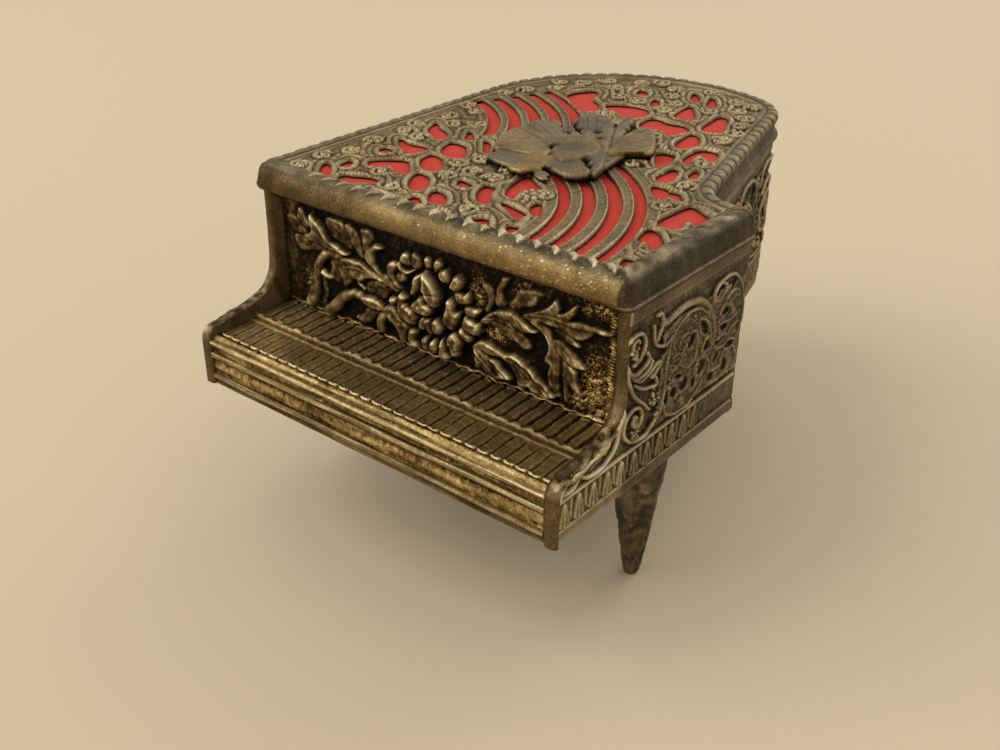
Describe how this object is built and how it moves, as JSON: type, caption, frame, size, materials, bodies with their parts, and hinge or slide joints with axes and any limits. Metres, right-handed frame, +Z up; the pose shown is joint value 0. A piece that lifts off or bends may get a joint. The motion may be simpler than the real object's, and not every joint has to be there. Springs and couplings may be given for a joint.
{
  "type": "musical jewelry box",
  "caption": "Cast metal jewelry box shaped like a grand piano, with a hinged openwork lid over lined trays and a key-wound musical movement under the tail.",
  "frame": {"origin": "on the table, under the middle of the whole box", "axes": "+Y from the keyboard towards the tail, +Z up, +X towards the player's right hand, where the bent side is"},
  "size_m": [0.0957, 0.136, 0.0778],
  "materials": {
    "pewter": "cast white metal with a worn, darkened silver finish",
    "aged_brass": "cast white metal with a worn, browned brass finish",
    "red_felt": "red felt over stiff card",
    "card": "plain board strip",
    "steel": "bright drawn or pressed steel",
    "movement_casting": "plain grey die casting",
    "movement_brass": "plain machined brass"
  },
  "bodies": {
    "case": {"left_side_wall": "pewter", "right_side_wall": "pewter", "bent_side_wall": "pewter", "tail_wall": "pewter", "front_panel": "aged_brass", "keyboard": "aged_brass", "key_slip": "aged_brass", "base_plate": "pewter", "front_left_leg": "pewter", "front_right_leg": "pewter", "rear_leg": "pewter", "leg_screws": "steel", "front_case_leaf": "aged_brass", "rear_case_leaf": "aged_brass", "front_hinge_pin": "steel", "rear_hinge_pin": "steel", "jewel_tray": "red_felt", "movement_cover": "red_felt", "cover_ledges": "card", "movement_bedplate": "movement_casting", "spring_housing": "steel", "mainspring": "steel", "comb": "steel", "comb_screws": "steel", "governor_bracket": "movement_casting", "movement_screws": "steel"},
    "lid": {"lid_casting": "pewter", "lid_flower": "pewter", "flower_rivets": "steel", "lid_lining": "red_felt", "front_lid_leaf": "aged_brass", "rear_lid_leaf": "aged_brass"},
    "key_drive": {"winding_arbor": "steel", "crown_wheel": "movement_brass", "winding_key": "steel"},
    "cylinder": {"music_cylinder": "movement_brass", "cylinder_arbor": "steel", "cylinder_pinion": "movement_brass", "cylinder_wheel": "movement_brass"},
    "governor": {"governor_arbor": "steel", "governor_pinion": "movement_brass", "governor_wheel": "movement_brass"},
    "fly": {"worm_shaft": "steel", "air_brake_fly": "movement_brass"},
    "stop": {"stop_wire": "steel"}
  },
  "joints": [
    {"name": "lid_hinge", "type": "hinge", "parent": "case", "child": "lid", "pos_m": [-0.04665, 0, 0.06815], "axis": [0, -1, 0], "range_deg": [0, 100]},
    {"name": "cylinder_turn", "type": "hinge", "parent": "case", "child": "cylinder", "pos_m": [-0.02005, 0.014, 0.04908], "axis": [1, 0, 0], "continuous": true},
    {"name": "key_turn", "type": "hinge", "parent": "case", "child": "key_drive", "pos_m": [0.00435, 0.014, 0.03285], "axis": [0, 0, 1], "continuous": true},
    {"name": "governor_turn", "type": "hinge", "parent": "case", "child": "governor", "pos_m": [-0.03265, 0.00572, 0.04607], "axis": [1, 0, 0], "continuous": true},
    {"name": "fly_turn", "type": "hinge", "parent": "case", "child": "fly", "pos_m": [-0.03435, -0.00048, 0.04685], "axis": [0, 0, 1], "continuous": true},
    {"name": "stop_slide", "type": "slide", "parent": "case", "child": "stop", "axis": [0, 0, 1], "range_m": [0, 0.004]}
  ],
  "couplings": [
    {"joint": "key_turn", "follows": "cylinder_turn", "ratio": -0.4},
    {"joint": "governor_turn", "follows": "cylinder_turn", "ratio": -3},
    {"joint": "fly_turn", "follows": "cylinder_turn", "ratio": -30},
    {"joint": "stop_slide", "follows": "lid_hinge", "m_per_rad": 0.00229}
  ]
}
